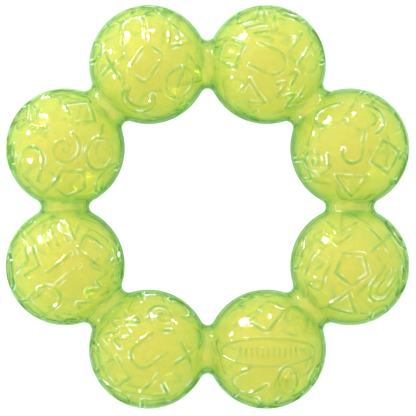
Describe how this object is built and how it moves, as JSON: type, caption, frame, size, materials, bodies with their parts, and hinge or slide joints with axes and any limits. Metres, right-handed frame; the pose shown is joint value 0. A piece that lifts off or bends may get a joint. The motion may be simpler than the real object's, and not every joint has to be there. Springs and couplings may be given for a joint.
{
  "type": "teething ring",
  "caption": "Soft translucent lime teething ring of round water-filled bulbs joined by short necks, with an open centre to hold.",
  "frame": {"origin": "the centre of the ring, on the surface that its back rests on", "axes": "+Z along the ring's axis, from the resting back to the front; +X across the ring, through the middle of a neck"},
  "size_m": [0.1, 0.1, 0.0287],
  "materials": {
    "shell": "gloss",
    "weld": "gloss",
    "plug": "satin",
    "water": "gloss"
  },
  "bodies": {
    "root": {"front_shell": "shell", "back_shell": "shell", "outer_weld_bead": "weld", "inner_weld_bead": "weld", "water_fill": "water", "fill_plug": "plug"}
  },
  "joints": []
}
